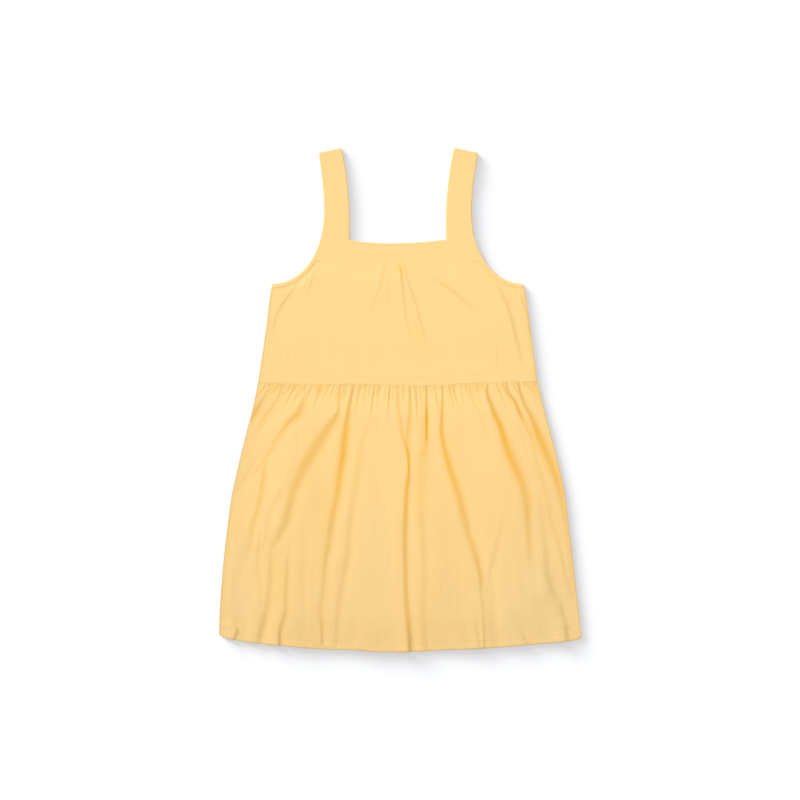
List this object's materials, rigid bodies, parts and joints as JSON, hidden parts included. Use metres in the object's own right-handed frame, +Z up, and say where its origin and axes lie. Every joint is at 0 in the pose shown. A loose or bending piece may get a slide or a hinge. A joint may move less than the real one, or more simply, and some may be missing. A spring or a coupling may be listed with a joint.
{
  "type": "mini dress",
  "caption": "Sleeveless square-neck mini dress laid flat, with wide straps, a flat waistband and a gathered A-line skirt.",
  "frame": {"origin": "bottom of the bounding box, under the middle of the laid dress, on the surface that it lies on", "axes": "+Z up out of the surface, +Y from the hem to the straps, +X to the right for someone who looks down at the front"},
  "size_m": [0.632, 0.8829, 0.0109],
  "materials": {
    "yellow_cotton": "matt plain-woven cotton, pale yellow"
  },
  "bodies": {
    "root": {"front_skirt": "yellow_cotton", "back_skirt": "yellow_cotton", "front_bodice": "yellow_cotton", "back_bodice": "yellow_cotton", "front_waistband": "yellow_cotton", "back_waistband": "yellow_cotton", "front_neckband": "yellow_cotton", "back_neckband": "yellow_cotton", "left_strap": "yellow_cotton", "right_strap": "yellow_cotton", "left_armhole_binding": "yellow_cotton", "right_armhole_binding": "yellow_cotton"}
  },
  "joints": []
}
